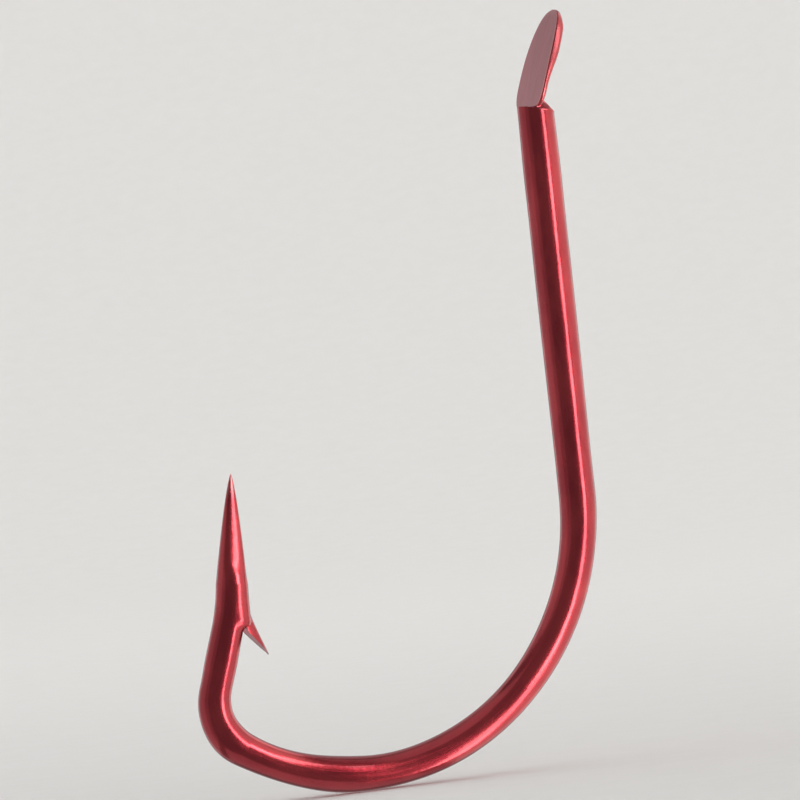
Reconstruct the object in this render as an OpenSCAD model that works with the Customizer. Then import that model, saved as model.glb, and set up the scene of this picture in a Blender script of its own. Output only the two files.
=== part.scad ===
// Spade-end single fishing hook, bent from one length of round steel wire.
// Frame: origin on the shank axis where the straight shank meets the neck, +Z up along the shank
// towards the spade, the point on the -X side, Y across the plane of the hook. Millimetres.
// Each node is one zone of the wire, and meets its neighbours face to face.

/* [Wire] */
// Diameter of the wire along the shank
wire_d = 1.0; // [0.9:0.02:1.1]
// Diameter of the wire along the round bend
bend_d = 0.92; // [0.84:0.02:1.0]
// Diameter of the wire at the root of the point
leg_d = 0.86; // [0.78:0.02:0.92]

/* [Shank] */
// Length of the straight shank, from the neck to the first bend
shank_len = 10.6; // [8:0.1:14]

/* [Bends] */
// Centre-line radius of the bend that leaves the shank
rear_r = 7.1; // [6:0.1:8]
// Sweep of the bend that leaves the shank, in degrees
rear_deg = 47; // [40:1:54]
// Centre-line radius of the wide bend along the bottom
bottom_r = 6.7; // [6:0.05:7.5]
// Sweep of the wide bend along the bottom, in degrees
bottom_deg = 76; // [70:1:82]
// Centre-line radius of the tight bend under the point
front_r = 1.45; // [1.2:0.05:1.8]
// Sweep of the tight bend under the point, in degrees
front_deg = 75; // [70:1:80]

/* [Front leg and point] */
// Length of straight wire between the tight bend and the barb
leg_len = 1.7; // [1.2:0.1:2]
// Centre-line radius of the slight outward set of the point, along the barb's zone
set_r = 5.8; // [5.8:0.1:7]
// Angle by which the point is set outwards from the leg, in degrees
set_deg = 12; // [12:1:14]
// Length of the ground point
point_len = 3.0; // [2.5:0.1:3.6]
// Power by which the point's radius grows from its tip, where 1 is a plain cone
point_power = 0.7; // [0.6:0.05:0.9]

/* [Barb] */
// Distance below the point's root at which the sliver's axis leaves the wire's axis
barb_root = 0.9; // [0.8:0.05:0.95]
// Distance below the point's root at which the notch under the sliver ends
barb_notch = 1.2; // [1.1:0.05:1.2]
// Angle by which the sliver is lifted from the point's axis, in degrees
barb_lift = 29; // [26:1:32]
// Angle of the flat cut under the sliver, measured from the point's axis, in degrees
barb_cut = 46; // [44:1:50]

/* [Spade] */
// Height of the ledge in front of the spade's foot
ledge_high = 0.1; // [0.08:0.01:0.14]
// Length of the flat spade
spade_len = 2.84; // [2.4:0.02:3.2]
// Greatest width of the spade
spade_w = 2.06; // [1.8:0.02:2.2]
// Width of the spade at its foot
spade_base_w = 1.44; // [1.3:0.02:1.6]
// Thickness of the spade
spade_t = 0.22; // [0.18:0.02:0.3]
// Thickness left at the end of the spade, where its back is bevelled
spade_end_t = 0.12; // [0.08:0.02:0.16]
// Backward lean of the spade, in degrees
spade_tilt = 21; // [15:1:30]

/* [Hidden] */
$fn = 64;
finish = "#a5202c";

// Stations along the wire's centre line, in the XZ plane. A heading is the angle turned so far
// from straight down the shank, towards -X.
function ahead(at, heading, run) = at + run * [-sin(heading), -cos(heading)];
function after_arc(at, heading, r, turn) =
    at + r * [cos(heading + turn) - cos(heading), sin(heading) - sin(heading + turn)];

bottom_heading = rear_deg;
front_heading = bottom_heading + bottom_deg;
leg_heading = front_heading + front_deg;
point_heading = leg_heading - set_deg;

shank_foot = [0, -shank_len];
rear_end = after_arc(shank_foot, 0, rear_r, rear_deg);
bottom_end = after_arc(rear_end, bottom_heading, bottom_r, bottom_deg);
front_end = after_arc(bottom_end, front_heading, front_r, front_deg);
leg_end = ahead(front_end, leg_heading, leg_len);
point_root = after_arc(leg_end, leg_heading, -set_r, -set_deg);

// Sweep of the tapered bend
ring_sides = 32;
ring_count = 16;

// Profile of the point, from root to tip
point_steps = 14;

// The notch ends on the wire's own skin, on the side of the gap
notch_end = [sqrt(pow(set_r + leg_d / 2, 2) - pow(barb_notch, 2)) - set_r, -barb_notch];
// The cut is carried this far back inside the wire, and past the sliver's tip
cut_depth = 0.2;
cut_run = 1.6;
// The sliver's skin reaches this far up inside the wire, and past its tip
skin_up = 0.6;
skin_down = 1.4;

// Foot of the spade's front face, behind the ledge
spade_foot = [-0.25, ledge_high];
// Length of the spade's front face that lies in front of the back shoulder
shoulder_rise = 0.2;
// The ledge slopes a little down to the shank's front skin
ledge_low = 0.08;
// The back shoulder is hollow, and this is its deepest point
back_hollow = [0.24, 0.1];
// Share of the spade's length at its widest, and the power of the superellipse beyond it
spade_waist = 0.2;
spade_round = 2.6;
outline_steps = 26;
// Length of the bevel on the spade's back
spade_bevel = 0.5;

// Local frame at a station: +Z along the wire towards the tip, +X into the gap of the hook
module at_station(at, heading) {
    translate([at.x, 0, at.y]) rotate([0, heading + 180, 0]) children();
}

// Wire of constant diameter bent in the XZ plane. A negative radius and turn bend it outwards.
module bent_wire(at, heading, r, turn, d) {
    centre = at + r * [-cos(heading), sin(heading)];
    first = turn > 0 ? -(heading + turn) : 180 - heading;
    translate([centre.x, 0, centre.y])
        rotate([90, 0, 0])
            rotate_extrude(angle = abs(turn), start = first)
                translate([abs(r), 0]) circle(d = d);
}

// Wire whose diameter changes evenly along its bend
module tapered_bend(at, heading, r, turn, d1, d2) {
    points = [for (i = [0:ring_count])
        let (share = i / ring_count,
             here = heading + turn * share,
             centre = after_arc(at, heading, r, turn * share),
             radius = (d1 + (d2 - d1) * share) / 2)
        for (k = [0:ring_sides - 1])
            let (a = 360 * k / ring_sides)
            [centre.x - radius * cos(a) * cos(here),
             radius * sin(a),
             centre.y + radius * cos(a) * sin(here)]];
    walls = [for (i = [0:ring_count - 1]) for (k = [0:ring_sides - 1])
        let (a = i * ring_sides + k,
             b = i * ring_sides + (k + 1) % ring_sides)
        each [[a, a + ring_sides, b], [b, a + ring_sides, b + ring_sides]]];
    first_cap = [for (k = [0:ring_sides - 1]) k];
    last_cap = [for (k = [ring_sides - 1:-1:0]) ring_count * ring_sides + k];
    polyhedron(points, concat(walls, [first_cap, last_cap]), convexity = 4);
}

// Half width of the spade at a share of its length: a quarter ellipse out to the widest place, and
// from there a superellipse that closes the round end
function spade_half(share) =
    let (side = sqrt(1 - pow(1 - min(1, share / spade_waist), 2)),
         past = max(0, (share - spade_waist) / (1 - spade_waist)))
    (spade_base_w + (spade_w - spade_base_w) * side) / 2
        * pow(1 - pow(past, spade_round), 1 / spade_round);

// Shares of the length crowd towards the foot and the round end, as the sine of an even angle
function spade_share(i) = (1 - cos(180 * i / outline_steps)) / 2;

module spade_outline() {
    right = [for (i = [0:outline_steps])
        [spade_half(spade_share(i)), spade_len * spade_share(i)]];
    left = [for (i = [outline_steps - 1:-1:0]) [-right[i].x, right[i].y]];
    polygon(concat(right, left));
}

// Side profile: the front face is flat on X = 0, the back is bevelled down to the thin end, and the
// foot is cut along the line on which the spade stands on the neck
module spade_profile() {
    polygon([[0, 0], [0, spade_len], [spade_end_t, spade_len], [spade_t, spade_len - spade_bevel],
             [spade_t, shoulder_rise]]);
}

module spade() {
    color(finish)
        translate([spade_foot.x, 0, spade_foot.y])
            rotate([0, spade_tilt, 0])
                intersection() {
                    rotate([90, 0, 90]) linear_extrude(spade_t) spade_outline();
                    rotate([90, 0, 0]) linear_extrude(spade_w, center = true) spade_profile();
                }
}

// Side profile of the shoulder: full wire at the foot, the ledge in front, the spade's own foot on
// top, and the hollow behind
module neck_profile() {
    back_top = spade_foot + spade_t * [cos(spade_tilt), -sin(spade_tilt)]
        + shoulder_rise * [sin(spade_tilt), cos(spade_tilt)];
    polygon([[-wire_d / 2, 0], [wire_d / 2, 0], back_hollow, back_top, spade_foot,
             [-wire_d / 2, ledge_low]]);
}

module neck() {
    color(finish)
        intersection() {
            cylinder(h = wire_d / 2, d = wire_d);
            rotate([90, 0, 0]) linear_extrude(2 * wire_d, center = true) neck_profile();
        }
}

module shank() {
    color(finish) translate([0, 0, -shank_len]) cylinder(h = shank_len, d = wire_d);
}

module rear_bend() {
    color(finish) tapered_bend(shank_foot, 0, rear_r, rear_deg, wire_d, bend_d);
}

module bottom_bend() {
    color(finish) bent_wire(rear_end, bottom_heading, bottom_r, bottom_deg, bend_d);
}

module front_bend() {
    color(finish) bent_wire(bottom_end, front_heading, front_r, front_deg, bend_d);
}

module front_leg() {
    color(finish)
        at_station(front_end, leg_heading) cylinder(h = leg_len, d1 = bend_d, d2 = leg_d);
}

// Side profile of the sliver in the local frame of the point's root: everything on the gap's
// side of the flat cut
module sliver_profile() {
    along = [sin(barb_cut), -cos(barb_cut)];
    inner = notch_end - cut_depth * along;
    outer = notch_end + cut_run * along;
    polygon([inner, outer, [outer.x, skin_up - barb_root], [inner.x, skin_up - barb_root]]);
}

// The wire's zone under the point, with the sliver cut from its skin and lifted into the gap
module barb() {
    color(finish) {
        bent_wire(leg_end, leg_heading, -set_r, -set_deg, leg_d);
        intersection() {
            at_station(ahead(point_root, point_heading, -barb_root), point_heading - barb_lift)
                translate([0, 0, -skin_down]) cylinder(h = skin_down + skin_up, d = leg_d);
            at_station(point_root, point_heading)
                rotate([90, 0, 0]) linear_extrude(leg_d, center = true) sliver_profile();
        }
    }
}

// Radius of the point at a share of its length, counted from the tip
function point_radius(share) = leg_d / 2 * pow(share, point_power);

module point() {
    profile = [for (i = [point_steps:-1:0])
        let (share = pow(i / point_steps, 2))
        [point_radius(share), point_len * (1 - share)]];
    color(finish)
        at_station(point_root, point_heading)
            rotate_extrude() polygon(concat([[0, 0]], profile));
}

spade();
neck();
shank();
rear_bend();
bottom_bend();
front_bend();
front_leg();
barb();
point();
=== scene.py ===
from math import acos, cos, exp, pi, radians, sin, sqrt

import bmesh
import bpy
import numpy as np
from mathutils import Matrix, Vector


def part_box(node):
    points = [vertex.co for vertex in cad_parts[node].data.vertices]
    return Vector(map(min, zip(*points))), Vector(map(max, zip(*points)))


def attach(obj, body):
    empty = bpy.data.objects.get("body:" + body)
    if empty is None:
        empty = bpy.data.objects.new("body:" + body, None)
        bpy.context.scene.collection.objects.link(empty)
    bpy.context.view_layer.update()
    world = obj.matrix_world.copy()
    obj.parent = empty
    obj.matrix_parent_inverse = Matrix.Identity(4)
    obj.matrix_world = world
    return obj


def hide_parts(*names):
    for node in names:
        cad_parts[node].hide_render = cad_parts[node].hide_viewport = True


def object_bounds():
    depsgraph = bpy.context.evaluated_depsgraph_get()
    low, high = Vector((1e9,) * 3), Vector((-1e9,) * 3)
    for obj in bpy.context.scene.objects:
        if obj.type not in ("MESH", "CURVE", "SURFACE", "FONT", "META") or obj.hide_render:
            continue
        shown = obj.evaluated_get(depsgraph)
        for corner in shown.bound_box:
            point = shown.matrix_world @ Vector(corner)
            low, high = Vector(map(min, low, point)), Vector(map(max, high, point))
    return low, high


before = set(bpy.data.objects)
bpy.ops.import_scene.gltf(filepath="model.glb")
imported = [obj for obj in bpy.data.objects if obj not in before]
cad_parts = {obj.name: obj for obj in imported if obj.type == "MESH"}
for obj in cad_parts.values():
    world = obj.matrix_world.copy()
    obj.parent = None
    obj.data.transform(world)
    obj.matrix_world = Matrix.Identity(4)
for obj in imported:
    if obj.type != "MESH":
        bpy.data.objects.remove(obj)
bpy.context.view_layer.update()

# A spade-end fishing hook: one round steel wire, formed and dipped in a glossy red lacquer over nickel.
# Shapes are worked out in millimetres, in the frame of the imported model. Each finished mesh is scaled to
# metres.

MM = 0.001

# ---------------------------------------- driving dimensions, in millimetres and degrees

SHANK_LOW, SHANK_HIGH = (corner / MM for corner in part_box("shank"))
WIRE_D = SHANK_HIGH.x - SHANK_LOW.x
SHANK_LEN = SHANK_HIGH.z - SHANK_LOW.z

# The bends, the leg and the point as in the part's own source
BEND_D = 0.92
LEG_D = 0.86

REAR_R, REAR_DEG = 7.1, 47
BOTTOM_R, BOTTOM_DEG = 6.7, 76
FRONT_R, FRONT_DEG = 1.45, 75
LEG_LEN = 1.7
SET_R, SET_DEG = 5.8, 12
POINT_LEN = 3.0
POINT_POWER = 0.7
TIP_R = 0.014

# The spade curves gently about the flat plate of the part's source, between the tilts of its foot and end
SPADE_LEN = 2.85
SPADE_W = 2.06
SPADE_BASE_W = 1.44
SPADE_FOOT = (-0.24, 0.095)
SPADE_FOOT_TILT, SPADE_END_TILT = 16.5, 27
SPADE_FOOT_T, SPADE_BODY_T, SPADE_END_T = 0.14, 0.25, 0.15
SPADE_WIDEST = 0.2
SPADE_ROUND = 2.6

# Gentle swells that forming leaves in the wire: distance from the neck, half length, change of diameter
SWELLS = ((1.6, 1.1, 0.03), (5.2, 3.6, 0.045), (11.0, 0.9, 0.02), (14.0, 2.5, 0.02), (19.0, 1.5, 0.02),
          (22.3, 1.0, 0.085), (24.3, 0.7, -0.02), (25.75, 0.55, 0.07), (27.3, 0.45, -0.05))

# The end is pressed with a step that stands square to the spade, so the neck's rings rise towards the front
NECK_LEAN = 0.315   # rise for each millimetre towards the front
SHANK_TOP = 0.10    # distance from the neck at which the shank's first ring lies
LEAN_RUN = 0.8      # length over which the shank's rings come level

SIDES = 72          # vertices round the wire
RING_STEP = 0.09    # distance between rings along the wire


# ---------------------------------------- the wire's centre line

def ahead(at, heading, run):
    return at[0] - run * sin(radians(heading)), at[1] - run * cos(radians(heading))


def after_arc(at, heading, r, turn):
    start, end = radians(heading), radians(heading + turn)
    return at[0] + r * (cos(end) - cos(start)), at[1] + r * (sin(start) - sin(end))


class Zone:
    """One zone of the wire. Radius 0 is straight, and a negative radius and turn bend it outwards."""

    def __init__(self, before, radius, amount):
        self.radius = radius
        self.turn = amount if radius else 0
        self.length = abs(radius * radians(amount)) if radius else amount
        self.start = before.end if before else 0.0
        self.end = self.start + self.length
        self.at, self.heading = before.station(before.end) if before else ((0.0, 0.0), 0.0)

    def station(self, s):
        run = s - self.start
        if not self.radius:
            return ahead(self.at, self.heading, run), self.heading
        turn = self.turn * run / self.length
        return after_arc(self.at, self.heading, self.radius, turn), self.heading + turn


ZONES = {}
zone = None
for zone_name, zone_radius, zone_amount in (
        ("shank", 0, SHANK_LEN), ("rear_bend", REAR_R, REAR_DEG), ("bottom_bend", BOTTOM_R, BOTTOM_DEG),
        ("front_bend", FRONT_R, FRONT_DEG), ("front_leg", 0, LEG_LEN), ("barb", -SET_R, -SET_DEG),
        ("point", 0, POINT_LEN)):
    zone = Zone(zone, zone_radius, zone_amount)
    ZONES[zone_name] = zone
TIP = ZONES["point"].end
ROOT = ZONES["point"].start


def smooth(share):
    share = min(1.0, max(0.0, share))
    return share * share * (3 - 2 * share)


def eased(value, start, run):
    """0 up to the start, 1 after the run, and a smooth rise between."""
    return smooth((value - start) / run)


def wire_radius(s):
    """Radius of the wire at a distance from the neck: even tapers between the zones, and the swells."""
    if s >= ROOT:
        share = max(0.0, (TIP - s) / POINT_LEN)
        return max(TIP_R * sqrt(min(1.0, share * POINT_LEN / TIP_R)), LEG_D / 2 * share ** POINT_POWER)
    marks = (0, ZONES["rear_bend"].start, ZONES["rear_bend"].end, ZONES["front_leg"].start,
             ZONES["front_leg"].end)
    plain = np.interp(s, marks, (WIRE_D, WIRE_D, BEND_D, BEND_D, LEG_D))
    swell = sum(change * exp(-((s - middle) / half) ** 2) for middle, half, change in SWELLS)
    return (plain + swell) / 2


# Raising the sliver pushes up a bulge on the gap's side of the wire, which runs out above the point's root
BULGE, BULGE_POWER = 0.0644, 2.63
BULGE_ABOVE = 0.6
BULGE_FALL, BULGE_END = 0.97, 1.17

# The point is ground flat on both sides, and the two flats lean together towards the gap
FLAT_HEIGHT, FLAT_LEAN = 0.76, 9
FLAT_MISSES = 1.6       # height at which a flat no longer touches the wire
FLAT_START, FLAT_RUN = ROOT - 0.25, 0.9
FLAT_POWER = 6


def bulge(s):
    down = ROOT - s
    rise = BULGE * max(0.0, down + BULGE_ABOVE) ** BULGE_POWER
    return rise * smooth((BULGE_END - down) / (BULGE_END - BULGE_FALL))


def ground(s, angle):
    """Share of the round radius that the ground flats leave at an angle from the gap's side."""
    height = FLAT_MISSES + (FLAT_HEIGHT - FLAT_MISSES) * eased(s, FLAT_START, FLAT_RUN)
    lean = radians(FLAT_LEAN)
    reach = cos(angle) * sin(lean) + abs(sin(angle)) * cos(lean)
    return (1 + max(0.0, reach / height) ** FLAT_POWER) ** (-1 / FLAT_POWER)


def ring_lean(s):
    """Rise of a ring of the shank for each millimetre towards the front, up to the neck's own lean."""
    return NECK_LEAN * smooth(1 - (s - SHANK_TOP) / LEAN_RUN)


def frame_at(at, heading):
    """(origin, into the gap, across, along the wire) at a station."""
    angle = radians(heading)
    return (np.array((at[0], 0, at[1])), np.array((-cos(angle), 0, sin(angle))), np.array((0, 1.0, 0)),
            np.array((-sin(angle), 0, -cos(angle))))


def ring_at(area, s):
    """One ring of the wire: its points, and the same points on the wire laid out straight."""
    origin, gap_side, across, along = frame_at(*area.station(s))
    gap_side = gap_side - ring_lean(s) * along
    points, laid = [], []
    for k in range(SIDES):
        angle = 2 * pi * k / SIDES
        r = wire_radius(s) + bulge(s) * max(0.0, cos(angle)) ** 2
        if s > FLAT_START:
            r *= ground(s, angle)
        points.append(origin + r * cos(angle) * gap_side + r * sin(angle) * across)
        laid.append((r * cos(angle), r * sin(angle), s))
    return points, laid


# ---------------------------------------- meshes

SHARP_DEG, BARB_SHARP_DEG = 38, 24      # edges that turn more than this are creases


def make_mesh(name, points, faces, laid=None, wear=None, pressed=None):
    """A closed smooth mesh in millimetres, with its creases marked sharp."""
    mesh = bpy.data.meshes.new(name)
    mesh.from_pydata([tuple(p) for p in points], [], faces)
    if laid is not None:
        store(mesh, "laid", laid, vector=True)
    if wear is not None:
        store(mesh, "wear", wear)
    if pressed is not None:
        store(mesh, "pressed", pressed)
    tidy = bmesh.new()
    tidy.from_mesh(mesh)
    bmesh.ops.remove_doubles(tidy, verts=tidy.verts, dist=1e-5)
    bmesh.ops.dissolve_degenerate(tidy, edges=tidy.edges, dist=1e-6)
    bmesh.ops.recalc_face_normals(tidy, faces=tidy.faces)
    tidy.to_mesh(mesh)
    tidy.free()
    mesh.polygons.foreach_set("use_smooth", [True] * len(mesh.polygons))
    mesh.set_sharp_from_angle(angle=radians(SHARP_DEG))
    piece = bpy.data.objects.new(name, mesh)
    bpy.context.scene.collection.objects.link(piece)
    return piece


def store(mesh, name, values, vector=False):
    """Writes one value per vertex as a named attribute."""
    if name in mesh.attributes:
        mesh.attributes.remove(mesh.attributes[name])
    layer = mesh.attributes.new(name, "FLOAT_VECTOR" if vector else "FLOAT", "POINT")
    flat = np.asarray(values, dtype=np.float32).ravel()
    layer.data.foreach_set("vector" if vector else "value", flat)


PIECES = []


def finish_piece(piece, node, material):
    """Scales a finished piece to metres and puts it in place of its CAD node."""
    piece.data.transform(Matrix.Scale(MM, 4))
    piece.data.materials.clear()
    piece.data.materials.append(material)
    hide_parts(node)
    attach(piece, "root")
    PIECES.append(piece)


def tube_faces(ring_total, sides):
    faces = []
    for i in range(ring_total - 1):
        for k in range(sides):
            a, b = i * sides + k, i * sides + (k + 1) % sides
            faces.append((a, b, b + sides, a + sides))
    faces.append(tuple(range(sides - 1, -1, -1)))
    last = (ring_total - 1) * sides
    faces.append(tuple(range(last, last + sides)))
    return faces


def stations(area, toward_tip=False):
    """Distances along a zone at which it has rings. On the point they crowd towards the tip."""
    start = max(area.start, SHANK_TOP)
    length = area.end - start
    total = max(8, int(length / RING_STEP))
    if not toward_tip:
        return [start + length * i / total for i in range(total + 1)]
    return [area.end - length * ((total - i) / total) ** 2 for i in range(total + 1)]


def wire_piece(name, area, toward_tip=False):
    points, laid, wear = [], [], []
    distances = stations(area, toward_tip)
    for s in distances:
        ring, ring_laid = ring_at(area, s)
        points += ring
        laid += ring_laid
        wear += [tip_wear(s)] * SIDES
    return make_mesh(name, points, tube_faces(len(distances), SIDES), laid, wear, [0.0] * len(points))


TIP_WEAR_LEN = 0.75


def tip_wear(s):
    """The lacquer thins out over the last stretch of the point."""
    return smooth(1 - (TIP - s) / TIP_WEAR_LEN)


# ---------------------------------------- barb

# In the frame of the point's root: x into the gap, y down the wire, away from the tip
SLIVER_CURVE = ((0.452, 0.50), (0.50, 0.85), (0.66, 1.12), (1.05, 1.90))
SLIVER_TIP = SLIVER_CURVE[-1]
CUT_FOOT = (0.30, 1.20)
SLIVER_BURIED = 0.30
SLIVER_TIP_T = 0.012
SLIVER_NARROWS = 0.4    # share of its width that the sliver loses by halfway along
SLIVER_WEAR, SLIVER_WEAR_LEN = 0.7, 0.4
SLIVER_STEPS = 34
ARC_STEPS = 18


def between(first, last, share):
    return tuple((1 - share) * a + share * b for a, b in zip(first, last))


def sliver_outer(share):
    """The sliver's outer edge: along the wire's skin, then a smooth turn away, then nearly straight."""
    u = 1 - share
    weights = (u ** 3, 3 * u * u * share, 3 * u * share * share, share ** 3)
    return tuple(sum(w * p[axis] for w, p in zip(weights, SLIVER_CURVE)) for axis in (0, 1))


def sliver_thickness(at, normal):
    """Distance from the outer edge down to the flat cut, or to a fixed depth inside the wire."""
    cut = np.subtract(SLIVER_TIP, CUT_FOOT)
    cut_normal = np.array((cut[1], -cut[0])) / np.hypot(*cut)
    rise = np.dot(np.subtract(at, CUT_FOOT), cut_normal)
    slope = np.dot(normal, cut_normal)
    return max(SLIVER_TIP_T, min(SLIVER_BURIED, rise / slope))


def build_sliver():
    """A closed crescent that runs from inside the wire's skin out to the sliver's tip."""
    origin, gap_side, across, along = frame_at(*ZONES["point"].station(ROOT))
    round_r = LEG_D / 2
    points, sides = [], 2 * ARC_STEPS
    for i in range(SLIVER_STEPS + 1):
        share = i / SLIVER_STEPS
        at = sliver_outer(share)
        nearby = sliver_outer(share + 0.001)
        run = np.subtract(nearby, at)
        normal = np.array((run[1], -run[0])) / np.hypot(*run)
        depth = sliver_thickness(at, normal)
        half_angle = acos(max(-1.0, 1 - depth / round_r))
        width = round_r * (1 - SLIVER_NARROWS * smooth(share / 0.5))
        ring = []
        for k in range(ARC_STEPS + 1):
            angle = half_angle * (2 * k / ARC_STEPS - 1)
            inward = round_r * (1 - cos(angle))
            ring.append((at[0] - inward * normal[0], at[1] - inward * normal[1], width * sin(angle)))
        for k in range(1, ARC_STEPS):
            ring.append(between(ring[ARC_STEPS], ring[0], k / ARC_STEPS))
        for x, down, y in ring:
            points.append(origin + x * gap_side + y * across - down * along)
    return make_mesh("sliver", points, tube_faces(SLIVER_STEPS + 1, sides))


def unite(piece, other):
    """Joins another closed mesh to a piece as one closed surface, and removes the other."""
    modifier = piece.modifiers.new("unite", "BOOLEAN")
    modifier.operation = "UNION"
    modifier.solver = "EXACT"
    modifier.object = other
    graph = bpy.context.evaluated_depsgraph_get()
    joined = bpy.data.meshes.new_from_object(piece.evaluated_get(graph))
    piece.modifiers.clear()
    piece.data = joined
    bpy.data.objects.remove(other)


def barb_piece():
    """The wire's zone under the point with the sliver joined on."""
    area = ZONES["barb"]
    points = []
    distances = stations(area)
    for s in distances:
        points += ring_at(area, s)[0]
    piece = make_mesh("barb_sliver", points, tube_faces(len(distances), SIDES))
    unite(piece, build_sliver())
    origin, gap_side, _, along = frame_at(*ZONES["point"].station(ROOT))
    laid, wear = [], []
    tip = origin + SLIVER_TIP[0] * gap_side - SLIVER_TIP[1] * along
    for vertex in piece.data.vertices:
        offset = np.array(vertex.co) - origin
        x, down = float(offset @ gap_side), float(-offset @ along)
        laid.append((x, offset[1], ROOT - down))
        away = float(np.linalg.norm(np.array(vertex.co) - tip))
        wear.append(SLIVER_WEAR * smooth(1 - away / SLIVER_WEAR_LEN))
    store(piece.data, "laid", laid, vector=True)
    store(piece.data, "wear", wear)
    store(piece.data, "pressed", [0.0] * len(laid))
    piece.data.polygons.foreach_set("use_smooth", [True] * len(piece.data.polygons))
    piece.data.set_sharp_from_angle(angle=radians(BARB_SHARP_DEG))
    return piece


# ---------------------------------------- neck

# Heights in the neck are those of its leaning rings, on the wire's axis
NECK_TOP = 0.31
NECK_RINGS = 100
NECK_SPREAD = 0.16      # the pressing spreads the neck's sides this far, each side
NECK_SPREAD_LEN = 0.2
CLIP_POWER = 13
PLATE_GAP = 0.005       # the neck's faces lie this far inside the plate's
NEARLY_SIDEWAYS = 0.01  # a ray that leads less than this to the front or back misses both cuts

# Heights between which the ledge and the shoulder are pressed and worn
LEDGE_BAND = (-0.02, 0.03)
SHOULDER_BAND = (0.05, 0.27)
NECK_PRESSED = 0.25
LEDGE_WEAR, SHOULDER_WEAR = 0.15, 0.30
SHOULDER_WORN_R = 0.2   # the shoulder is worn beyond this distance from its middle

# Height and x of the ledge's cut in front, and of the shoulder's cut behind
LEDGE_FRONT = ((-0.10, -1.4), (-0.03, -0.80), (-0.015, -0.56), (-0.005, -0.48), (0.003, -0.37),
               (0.010, -0.27), (0.016, -0.23))
SHOULDER_BACK = ((-0.10, 1.0), (0.03, 0.62), (0.05, 0.53), (0.068, 0.45), (0.095, 0.30), (0.154, 0.17),
                 (0.217, 0.055), (0.267, -0.03), (0.30, -0.08))

SPADE_R = SPADE_LEN / radians(SPADE_END_TILT - SPADE_FOOT_TILT)


def spade_tilt(run):
    return radians(SPADE_FOOT_TILT) + run / SPADE_R


def spade_point(run, depth, y):
    """A point of the curved plate: along its front face from the foot, back through it, and across."""
    tilt, foot = spade_tilt(run), radians(SPADE_FOOT_TILT)
    x = SPADE_FOOT[0] + SPADE_R * (cos(foot) - cos(tilt)) + depth * cos(tilt)
    z = SPADE_FOOT[1] + SPADE_R * (sin(tilt) - sin(foot)) - depth * sin(tilt)
    return x, y, z


def plate_face(z, depth):
    """x of the plate at a height near its foot, at a depth behind its front face."""
    foot = radians(SPADE_FOOT_TILT)
    run = (z - SPADE_FOOT[1] + depth * sin(foot)) / cos(foot)
    return spade_point(run, depth, 0)[0]


def ring_face(height, depth):
    """x at which a leaning ring of the neck meets the plate, at a depth behind the plate's front face."""
    x = 0.0
    for _ in range(4):
        x = plate_face(height - NECK_LEAN * x, depth)
    return x


def neck_clip(height):
    """Where the ledge in front and the shoulder behind cut the round neck at a ring."""
    front = ring_face(height, PLATE_GAP)
    if height < LEDGE_FRONT[-1][0]:
        front = min(np.interp(height, *zip(*LEDGE_FRONT)), front)
    back = ring_face(height, SPADE_FOOT_T - PLATE_GAP)
    if height < SHOULDER_BACK[-1][0]:
        back = max(np.interp(height, *zip(*SHOULDER_BACK)), back)
    return front, back


def neck_piece():
    """The round wire cut by the ledge and the shoulder, in rings that lean."""
    points, laid, wear, pressed = [], [], [], []
    for i in range(NECK_RINGS + 1):
        height = -SHANK_TOP + (NECK_TOP + SHANK_TOP) * i / NECK_RINGS
        deep = wire_radius(SHANK_TOP)
        wide = deep + NECK_SPREAD * smooth(height / NECK_SPREAD_LEN)
        front, back = neck_clip(height)
        middle = (max(front, -deep) + min(back, deep)) / 2
        for k in range(SIDES):
            angle = 2 * pi * k / SIDES
            ux, uy = -cos(angle), sin(angle)
            # where the ray from the middle meets the oval
            a = (ux / deep) ** 2 + (uy / wide) ** 2
            b = middle * ux / deep ** 2
            c = (middle / deep) ** 2 - 1
            limits = [(sqrt(max(0.0, b * b - a * c)) - b) / a]
            if ux < -NEARLY_SIDEWAYS:
                limits.append((middle - front) / -ux)
            if ux > NEARLY_SIDEWAYS:
                limits.append((back - middle) / ux)
            r = sum(limit ** -CLIP_POWER for limit in limits) ** (-1 / CLIP_POWER)
            x, y = middle + r * ux, r * uy
            points.append((x, y, height - NECK_LEAN * x))
            laid.append((-x, y, -height))
            on_ledge = LEDGE_BAND[0] < height < LEDGE_BAND[1] and x < middle
            on_shoulder = SHOULDER_BAND[0] < height < SHOULDER_BAND[1] and x > middle
            pressed.append(NECK_PRESSED if on_ledge or on_shoulder else 0.0)
            if on_shoulder and r > SHOULDER_WORN_R:
                wear.append(SHOULDER_WEAR)
            else:
                wear.append(LEDGE_WEAR if on_ledge else 0.0)
    return make_mesh("neck_shoulder", points, tube_faces(NECK_RINGS + 1, SIDES), laid, wear, pressed)


# ---------------------------------------- spade

FRONT_EDGE_R = 0.035
BACK_EDGE_R = 0.10
PLATE_ROWS = 72
PLATE_COLUMNS = 24
EDGE_STEPS = 7
DISH = 0.010           # the pressed front is this much hollow in the middle
DISH_HALF_WIDTH, DISH_RUN = 0.5, 0.3    # it fades out where the plate is narrower, and over the foot
PLATE_BURIED = 0.03    # the plate starts this far below its foot, inside the neck

# Along the plate, as the share of its length at which each starts, and the share it takes
THICKENS = (0.2, 0.4)
BEVEL = (0.80, 0.2)
FOOT_WEARS = (0, 0.1)
END_WEARS = (0.9, 0.1)
FACE_WEARS = (0.93, 0.07)
EDGE_WEAR, END_WEAR, FACE_WEAR = 0.22, 0.3, 0.2
BACK_PRESSED = 0.6


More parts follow.
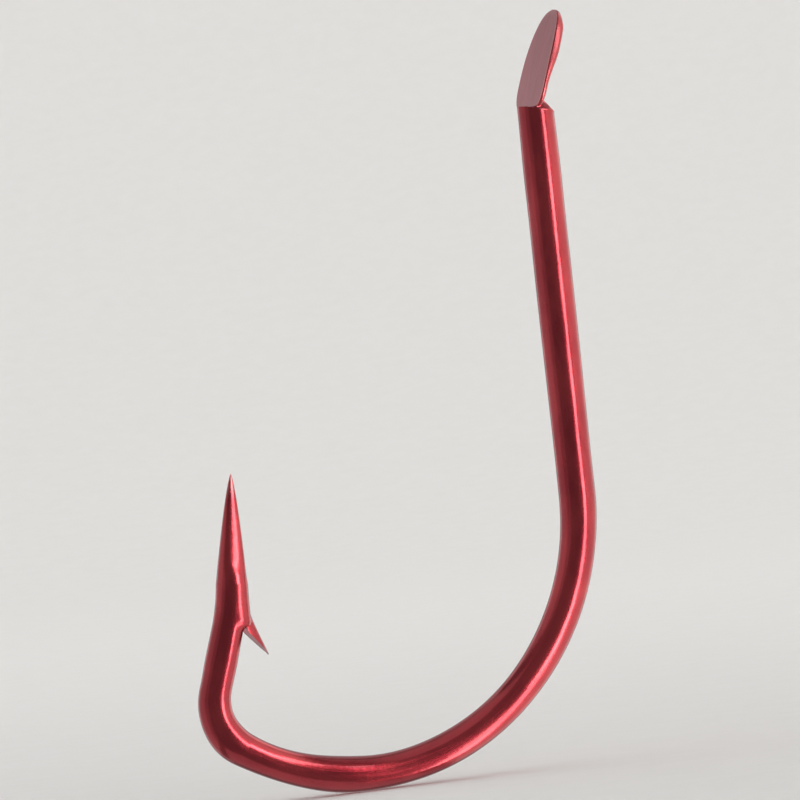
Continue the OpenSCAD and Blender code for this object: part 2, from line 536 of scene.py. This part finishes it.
def spade_half(share):
    """Half width: a quarter ellipse out to the widest place, then a superellipse round the end."""
    side = sqrt(1 - (1 - min(1, share / SPADE_WIDEST)) ** 2)
    past = max(0, (share - SPADE_WIDEST) / (1 - SPADE_WIDEST))
    return ((SPADE_BASE_W + (SPADE_W - SPADE_BASE_W) * side) / 2
            * max(0.0, 1 - past ** SPADE_ROUND) ** (1 / SPADE_ROUND))


def spade_thickness(share):
    """Thin over the shoulder, thicker in the body, and bevelled to the end."""
    body = SPADE_FOOT_T + (SPADE_BODY_T - SPADE_FOOT_T) * eased(share, *THICKENS)
    return body - (SPADE_BODY_T - SPADE_END_T) * eased(share, *BEVEL)


def outline_point(share):
    """A point of the right-hand outline and the direction that leads straight out of it."""
    step = 1e-4
    low, high = max(0.0, share - step), min(1.0, share + step)
    run = np.array((spade_half(high) - spade_half(low), SPADE_LEN * (high - low)))
    run /= np.hypot(*run)
    return np.array((spade_half(share), SPADE_LEN * share)), np.array((run[1], -run[0]))


def edge_profile():
    """(face, angle) round the right-hand edge, from the front face to the back face."""
    front = [("front", pi / 2 * i / EDGE_STEPS) for i in range(EDGE_STEPS + 1)]
    back = [("back", pi / 2 * (1 - i / EDGE_STEPS)) for i in range(EDGE_STEPS + 1)]
    return front + back


def spade_piece():
    """Each ring runs round the right edge from front to back, across the back, round the left edge, and
    across the front."""
    points, laid, wear, pressed = [], [], [], []
    profile = edge_profile()
    rows = [-PLATE_BURIED / SPADE_LEN]
    rows += [(1 - cos(pi * i / PLATE_ROWS)) / 2 for i in range(PLATE_ROWS + 1)]
    for share in rows:
        edge, outward = outline_point(max(0.0, share))
        edge[1] = SPADE_LEN * share
        thick = spade_thickness(share)
        shrink = min(1.0, thick / (FRONT_EDGE_R + BACK_EDGE_R), edge[0] / FRONT_EDGE_R + 0.02)
        right = []
        for face, angle in profile:
            r = (FRONT_EDGE_R if face == "front" else BACK_EDGE_R) * shrink
            y, run = edge - r * (1 - sin(angle)) * outward
            depth = r * (1 - cos(angle)) if face == "front" else thick - r * (1 - cos(angle))
            right.append((run, depth, max(y, 0.0)))
        left = [(run, depth, -y) for run, depth, y in reversed(right)]
        across_back = [between(right[-1], left[0], k / PLATE_COLUMNS) for k in range(1, PLATE_COLUMNS)]
        across_front = []
        for k in range(1, PLATE_COLUMNS):
            run, depth, y = between(left[-1], right[0], k / PLATE_COLUMNS)
            middle = max(0.0, 1 - (y / max(edge[0], 0.05)) ** 2)
            hollow = DISH * middle * smooth(edge[0] / DISH_HALF_WIDTH) * smooth(share / DISH_RUN)
            across_front.append((run, depth + hollow, y))
        edge_wear = EDGE_WEAR * eased(share, *FOOT_WEARS) + END_WEAR * eased(share, *END_WEARS)
        face_wear = FACE_WEAR * eased(share, *FACE_WEARS)
        for part, part_wear, part_pressed in ((right, edge_wear, 0.0), (across_back, face_wear, BACK_PRESSED),
                                              (left, edge_wear, 0.0), (across_front, face_wear, 1.0)):
            for run, depth, y in part:
                points.append(spade_point(run, depth, y))
                laid.append((depth, y, -run))
                wear.append(part_wear)
                pressed.append(part_pressed)
    sides = len(points) // len(rows)
    return make_mesh("spade_plate", points, tube_faces(len(rows), sides), laid, wear, pressed)


# ---------------------------------------- materials

CRIMSON = (0.72, 0.062, 0.079, 1)
DEEP_CRIMSON = (0.50, 0.029, 0.047, 1)
THIN_LACQUER = (0.80, 0.30, 0.30, 1)
PRESSED_MAUVE = (0.45, 0.09, 0.12, 1)


def node_of(tree, kind, **settings):
    node = tree.nodes.new(kind)
    for key, value in settings.items():
        setattr(node, key, value)
    return node


def noise(tree, vector, scale, detail=3.0, rough=0.55):
    node = node_of(tree, "ShaderNodeTexNoise")
    node.inputs["Scale"].default_value = scale
    node.inputs["Detail"].default_value = detail
    node.inputs["Roughness"].default_value = rough
    tree.links.new(vector, node.inputs["Vector"])
    return node.outputs["Fac"]


def stretched(tree, vector, scale):
    node = node_of(tree, "ShaderNodeMapping")
    node.inputs["Scale"].default_value = scale
    tree.links.new(vector, node.inputs["Vector"])
    return node.outputs["Vector"]


def ranged(tree, value, low, high, out_low, out_high):
    node = node_of(tree, "ShaderNodeMapRange", clamp=True, interpolation_type="SMOOTHSTEP")
    for key, number in (("From Min", low), ("From Max", high), ("To Min", out_low), ("To Max", out_high)):
        node.inputs[key].default_value = number
    tree.links.new(value, node.inputs["Value"])
    return node.outputs["Result"]


def mixed(tree, factor, first, second):
    """A colour between two, each a colour or a socket."""
    node = node_of(tree, "ShaderNodeMix", data_type="RGBA")
    sockets = {socket.identifier: socket for socket in node.inputs}
    tree.links.new(factor, sockets["Factor_Float"])
    for key, colour in (("A_Color", first), ("B_Color", second)):
        if isinstance(colour, tuple):
            sockets[key].default_value = colour
        else:
            tree.links.new(colour, sockets[key])
    return next(socket for socket in node.outputs if socket.identifier == "Result_Color")


def calculated(tree, operation, first, second):
    node = node_of(tree, "ShaderNodeMath", operation=operation)
    for index, value in enumerate((first, second)):
        if isinstance(value, (int, float)):
            node.inputs[index].default_value = value
        else:
            tree.links.new(value, node.inputs[index])
    return node.outputs[0]


def lacquer(name, coat_rough):
    """Transparent red lacquer over bright nickel. It has draw lines along the wire, a faint orange peel,
    darker pools, thin places at the edges, and satin faces where the die pressed it."""
    material = bpy.data.materials.new(name)
    material.use_nodes = True
    tree = material.node_tree
    shader = tree.nodes["Principled BSDF"]
    shader.inputs["Metallic"].default_value = 1.0
    shader.inputs["Coat Weight"].default_value = 1.0
    shader.inputs["Coat Roughness"].default_value = coat_rough
    shader.inputs["Coat IOR"].default_value = 1.5

    laid = node_of(tree, "ShaderNodeAttribute", attribute_name="laid").outputs["Vector"]
    wear = node_of(tree, "ShaderNodeAttribute", attribute_name="wear").outputs["Fac"]
    pressed = node_of(tree, "ShaderNodeAttribute", attribute_name="pressed").outputs["Fac"]

    pools = noise(tree, stretched(tree, laid, (1.6, 1.6, 0.55)), 1.0, 4.0)
    lines = noise(tree, stretched(tree, laid, (16, 16, 0.9)), 1.0, 3.0, 0.6)
    flecks = noise(tree, stretched(tree, laid, (9, 9, 4)), 1.0, 2.0)
    peel = noise(tree, laid, 7.0, 2.0, 0.5)

    tone = mixed(tree, ranged(tree, pools, 0.35, 0.68, 0, 1), CRIMSON, DEEP_CRIMSON)
    tone = mixed(tree, ranged(tree, lines, 0.52, 0.72, 0, 0.35), tone, DEEP_CRIMSON)
    tone = mixed(tree, calculated(tree, "MULTIPLY", pressed, 0.8), tone, PRESSED_MAUVE)
    bare = calculated(tree, "MULTIPLY", wear, ranged(tree, flecks, 0.3, 0.65, 0.55, 1.0))
    tone = mixed(tree, bare, tone, THIN_LACQUER)
    tree.links.new(tone, shader.inputs["Base Color"])

    rough = ranged(tree, lines, 0.3, 0.7, 0.20, 0.28)
    rough = calculated(tree, "ADD", rough, calculated(tree, "MULTIPLY", pressed, 0.14))
    rough = calculated(tree, "ADD", rough, calculated(tree, "MULTIPLY", wear, 0.08))
    tree.links.new(rough, shader.inputs["Roughness"])

    grain = calculated(tree, "MULTIPLY", lines, 0.5)
    surface = calculated(tree, "ADD", grain, calculated(tree, "MULTIPLY", peel, 0.5))
    bump = node_of(tree, "ShaderNodeBump")
    bump.inputs["Strength"].default_value = 0.18
    bump.inputs["Distance"].default_value = 0.02 * MM
    tree.links.new(surface, bump.inputs["Height"])
    tree.links.new(bump.outputs["Normal"], shader.inputs["Normal"])
    tree.links.new(bump.outputs["Normal"], shader.inputs["Coat Normal"])
    return material


GLOSS = lacquer("red_lacquer_gloss", 0.10)
SATIN = lacquer("spade_lacquer_satin", 0.20)


# ---------------------------------------- the hook

for node in ("shank", "rear_bend", "bottom_bend", "front_bend", "front_leg"):
    finish_piece(wire_piece(node + "_wire", ZONES[node]), node, GLOSS)
finish_piece(wire_piece("needle_point", ZONES["point"], toward_tip=True), "point", GLOSS)
finish_piece(barb_piece(), "barb", GLOSS)
finish_piece(neck_piece(), "neck", GLOSS)
finish_piece(spade_piece(), "spade", SATIN)


# ---------------------------------------- studio: all lengths in metres

LOW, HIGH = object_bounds()
CENTRE = (LOW + HIGH) / 2

CAMERA_AZIMUTH = -20
CAMERA_ROLL = 6.17
LENS = 300
FRAME_WIDTH = 21.92 * MM
AIM = CENTRE + Vector((0.44, 0, 0.11)) * MM

# The near keys, as azimuths from the camera's, seen from the shank. The bottom bend has a key of its own.
KEY_AZIMUTH = 43.5
BOTTOM_KEY_AZIMUTH = 48
KEY_HEIGHT = -8.5 * MM
KEY_DISTANCE = 30 * MM
KEY_WIDTH, KEY_LENGTH = 8 * MM, 24 * MM
KEY_RADIANCE = 3.5

FLOOR_R = 0.40
FLOOR_CURVE_R = 0.18
FLOOR_WALL = 0.42
FLOOR_FLAT_RINGS, FLOOR_CURVE_RINGS, FLOOR_SIDES = 8, 24, 96
FLOOR_FLAT_SHARE = 0.5      # the flat's own rings reach this share of the radius
PAPER_LOW, PAPER_HIGH = (0.80, 0.80, 0.79, 1), (0.84, 0.84, 0.835, 1)
PAPER_GRAIN = 900.0

FLOOR_LIGHT_SIZE, FLOOR_LIGHT_HEIGHT, FLOOR_LIGHT_RADIANCE = 0.5, 0.38, 0.5
WALL_LIGHT_WIDTH, WALL_LIGHT_DEPTH, WALL_LIGHT_HEIGHT, WALL_LIGHT_POWER = 0.5, 0.1, 0.25, 0.3


def toward(azimuth, elevation=0):
    """Unit vector from the hook towards a viewer at that azimuth."""
    a, e = radians(azimuth), radians(elevation)
    return Vector((sin(a) * cos(e), -cos(a) * cos(e), sin(e)))


def add_camera():
    back = toward(CAMERA_AZIMUTH)
    level_right = Vector((cos(radians(CAMERA_AZIMUTH)), sin(radians(CAMERA_AZIMUTH)), 0))
    level_up = Vector((0, 0, 1))
    roll = radians(CAMERA_ROLL)
    right = level_right * cos(roll) - level_up * sin(roll)
    up = level_right * sin(roll) + level_up * cos(roll)
    data = bpy.data.cameras.new("camera")
    data.lens = LENS
    distance = LENS / data.sensor_width * FRAME_WIDTH
    data.clip_start, data.clip_end = distance / 20, 2.0
    camera = bpy.data.objects.new("camera", data)
    turn = Matrix((right, up, back)).transposed().to_4x4()
    camera.matrix_world = Matrix.Translation(AIM + back * distance) @ turn
    bpy.context.scene.collection.objects.link(camera)
    bpy.context.scene.camera = camera


def studio_paper():
    """Pale matt paper with a fine grain."""
    material = bpy.data.materials.new("studio_paper")
    material.use_nodes = True
    tree = material.node_tree
    shader = tree.nodes["Principled BSDF"]
    shader.inputs["Roughness"].default_value = 1.0
    shader.inputs["Specular IOR Level"].default_value = 0.0
    place = node_of(tree, "ShaderNodeTexCoord").outputs["Object"]
    tone = mixed(tree, noise(tree, place, PAPER_GRAIN), PAPER_LOW, PAPER_HIGH)
    tree.links.new(tone, shader.inputs["Base Color"])
    return material


def add_floor():
    """A pale floor that curves up all round into a wall."""
    profile = [(FLOOR_R * FLOOR_FLAT_SHARE * i / FLOOR_FLAT_RINGS, 0) for i in range(1, FLOOR_FLAT_RINGS)]
    corner = FLOOR_R - FLOOR_CURVE_R
    for i in range(FLOOR_CURVE_RINGS + 1):
        angle = pi / 2 * i / FLOOR_CURVE_RINGS
        profile.append((corner + FLOOR_CURVE_R * sin(angle), FLOOR_CURVE_R * (1 - cos(angle))))
    profile.append((FLOOR_R, FLOOR_WALL))
    sides = FLOOR_SIDES
    points = [(CENTRE.x, CENTRE.y, LOW.z)]
    for r, z in profile:
        for k in range(sides):
            angle = 2 * pi * k / sides
            points.append((CENTRE.x + r * cos(angle), CENTRE.y + r * sin(angle), LOW.z + z))
    faces = [(0, 1 + k, 1 + (k + 1) % sides) for k in range(sides)]
    for i in range(len(profile) - 1):
        for k in range(sides):
            a, b = 1 + i * sides + k, 1 + i * sides + (k + 1) % sides
            faces.append((a, a + sides, b + sides, b))
    mesh = bpy.data.meshes.new("studio_floor")
    mesh.from_pydata(points, [], faces)
    mesh.polygons.foreach_set("use_smooth", [True] * len(mesh.polygons))
    floor = bpy.data.objects.new("studio_floor", mesh)
    bpy.context.scene.collection.objects.link(floor)
    floor.visible_glossy = False
    floor.visible_shadow = False
    mesh.materials.append(studio_paper())
    return floor


def add_lamp(name, width, height, power, colour=(1, 1, 1)):
    """A rectangular lamp that the camera doesn't see."""
    data = bpy.data.lights.new(name, "AREA")
    data.shape = "RECTANGLE"
    data.size, data.size_y = width, height
    data.energy = power
    data.color = colour
    lamp = bpy.data.objects.new(name, data)
    lamp.visible_camera = False
    bpy.context.scene.collection.objects.link(lamp)
    return lamp


def lamp_power(radiance, width, height):
    return radiance * pi * width * height


def aim_lamp(lamp, location, facing):
    lamp.location = location
    lamp.rotation_mode = "QUATERNION"
    lamp.rotation_quaternion = facing.to_track_quat("-Z", "Y")


def light_only(lamp, receivers):
    lit = bpy.data.collections.new("lit_by_" + lamp.name)
    for piece in receivers:
        lit.objects.link(piece)
    lamp.light_linking.receiver_collection = lit


def add_softbox(name, azimuth, elevation, distance, width, height, radiance, colour=(1, 1, 1)):
    """A rectangular softbox that faces the hook. Its azimuth is counted from the camera's."""
    lamp = add_lamp(name, width, height, lamp_power(radiance, width, height), colour)
    out = toward(CAMERA_AZIMUTH + azimuth, elevation)
    aim_lamp(lamp, CENTRE + out * distance, -out)


def add_strip(name, first, last, distance, width, radiance):
    """A long softbox from one direction to another, each an azimuth from the camera's and an elevation."""
    ends = [CENTRE + toward(CAMERA_AZIMUTH + azimuth, elevation) * distance
            for azimuth, elevation in (first, last)]
    length = (ends[1] - ends[0]).length
    middle = (ends[0] + ends[1]) / 2
    along, out = (ends[1] - ends[0]).normalized(), (middle - CENTRE).normalized()
    lamp = add_lamp(name, width, length, lamp_power(radiance, width, length))
    turn = Matrix((along.cross(out), along, out)).transposed().to_4x4()
    lamp.matrix_world = Matrix.Translation(middle) @ turn


def add_near_key(name, azimuth, receivers):
    """A small softbox close to the hook, which the shank and the point see from different sides. It lights
    only its own pieces."""
    lamp = add_lamp(name, KEY_WIDTH, KEY_LENGTH, lamp_power(KEY_RADIANCE, KEY_WIDTH, KEY_LENGTH))
    shank_middle = Vector((0, 0, KEY_HEIGHT))
    out = toward(CAMERA_AZIMUTH + azimuth)
    aim_lamp(lamp, shank_middle + out * KEY_DISTANCE, -out)
    light_only(lamp, receivers)


def add_floor_light(floor):
    """A wide lamp overhead that lights only the floor and its wall."""
    size = FLOOR_LIGHT_SIZE
    lamp = add_lamp("floor_light", size, size, lamp_power(FLOOR_LIGHT_RADIANCE, size, size))
    lamp.location = CENTRE + Vector((0, 0, FLOOR_LIGHT_HEIGHT))
    light_only(lamp, [floor])


def add_wall_light():
    """A lamp high over the hook that faces away from the camera and lights the wall behind."""
    lamp = add_lamp("wall_light", WALL_LIGHT_WIDTH, WALL_LIGHT_DEPTH, WALL_LIGHT_POWER)
    aim_lamp(lamp, CENTRE + Vector((0, 0, WALL_LIGHT_HEIGHT)), toward(CAMERA_AZIMUTH + 180))


def add_world(brightness):
    world = bpy.data.worlds.new("studio_room")
    world.use_nodes = True
    background = world.node_tree.nodes["Background"]
    background.inputs["Color"].default_value = (1, 1, 1, 1)
    background.inputs["Strength"].default_value = brightness
    bpy.context.scene.world = world


add_camera()
FLOOR = add_floor()
add_world(0.165)
BOTTOM_PIECES = [piece for piece in PIECES if piece.name == "bottom_bend_wire"]
add_near_key("near_key", KEY_AZIMUTH, [piece for piece in PIECES if piece not in BOTTOM_PIECES])
add_near_key("bottom_key", BOTTOM_KEY_AZIMUTH, BOTTOM_PIECES)
add_strip("low_strip", (51, -8), (76, -50), 0.30, 0.060, 2.6)
add_strip("high_strip", (52, 13), (63, 43), 0.30, 0.060, 2.2)
add_softbox("side_panel", 105, 0, 0.32, 0.62, 0.9, 0.64, (1, 0.90, 0.84))
add_softbox("left_panel", -95, 0, 0.34, 0.78, 0.7, 0.10)
add_softbox("left_fill", -105, 0, 0.33, 0.45, 0.7, 0.13)
add_softbox("back_panel", 180, 10, 0.34, 0.70, 0.7, 0.20)
add_softbox("rim_strip", -140, 0, 0.30, 0.03, 0.8, 0.50)
add_softbox("top_panel", 0, 85, 0.38, 0.40, 0.4, 0.2)
add_softbox("bounce_panel", 0, -85, 0.34, 0.40, 0.4, 0.2)
add_wall_light()
add_floor_light(FLOOR)
bpy.context.scene.view_settings.view_transform = "Standard"
